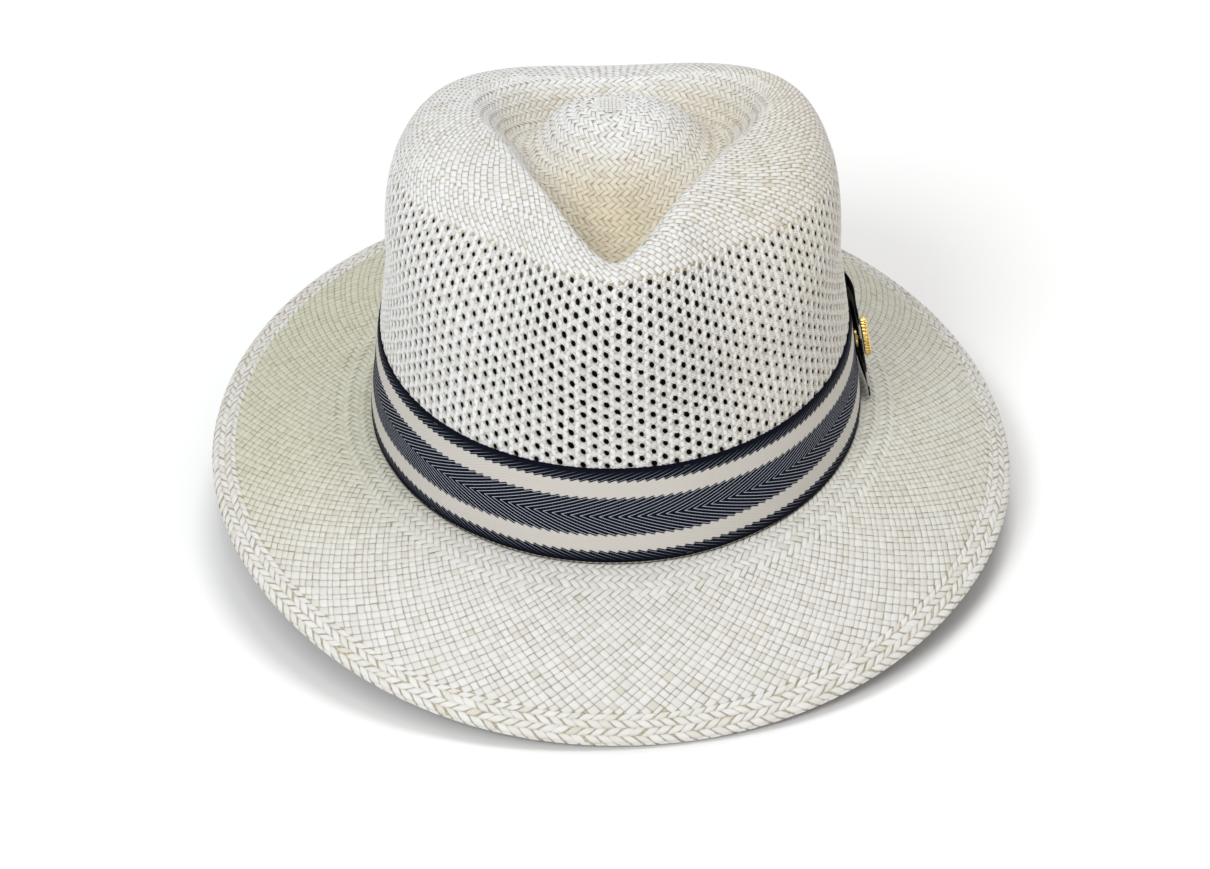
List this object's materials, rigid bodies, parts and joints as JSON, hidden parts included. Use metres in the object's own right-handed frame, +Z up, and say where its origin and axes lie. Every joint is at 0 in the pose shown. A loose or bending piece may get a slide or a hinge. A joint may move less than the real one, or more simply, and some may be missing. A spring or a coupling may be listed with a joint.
{
  "type": "fedora hat",
  "caption": "Woven straw fedora with a teardrop crown, open-weave side wall, snap brim, striped ribbon band, side bow with a round milled pin, and leather sweatband.",
  "frame": {"origin": "centre of the head opening, in the plane of the break where crown and brim meet", "axes": "+Z up through the crown, -Y to the front (the pinch), +X to the side with the bow, the wearer's left"},
  "size_m": [0.2869, 0.3092, 0.144],
  "materials": {
    "straw": "bleached toquilla straw, satin, twill weave",
    "straw_border": "toquilla straw, braided border",
    "ribbon": "woven ribbon, navy and beige stripes with a herringbone centre",
    "gilt": "polished gilt",
    "sweat_leather": "smooth sheepskin, low sheen",
    "reed_cover": "leather-covered reed",
    "seam_tape": "cotton seam tape",
    "thread": "waxed cotton thread",
    "bow_satin": "satin ribbon",
    "dark_thread": "polyester thread"
  },
  "bodies": {
    "hat": {"crown": "straw", "brim": "straw", "brim_border": "straw_border", "hatband": "ribbon", "bow_loop": "ribbon", "bow_knot": "ribbon", "bow_tail": "ribbon", "sweatband": "sweat_leather", "sweatband_reed": "reed_cover", "sweatband_tape": "seam_tape", "sweatband_stitches": "thread", "sweatband_bow": "bow_satin", "ribbon_tacks": "dark_thread"},
    "pin": {"pin_head": "gilt", "pin_post": "gilt", "pin_backplate": "gilt"}
  },
  "joints": [
    {"name": "pin_turn", "type": "hinge", "parent": "hat", "child": "pin", "pos_m": [0.08528, 0.00464, 0.017], "axis": [0.9863, 0, 0.165], "continuous": true}
  ]
}
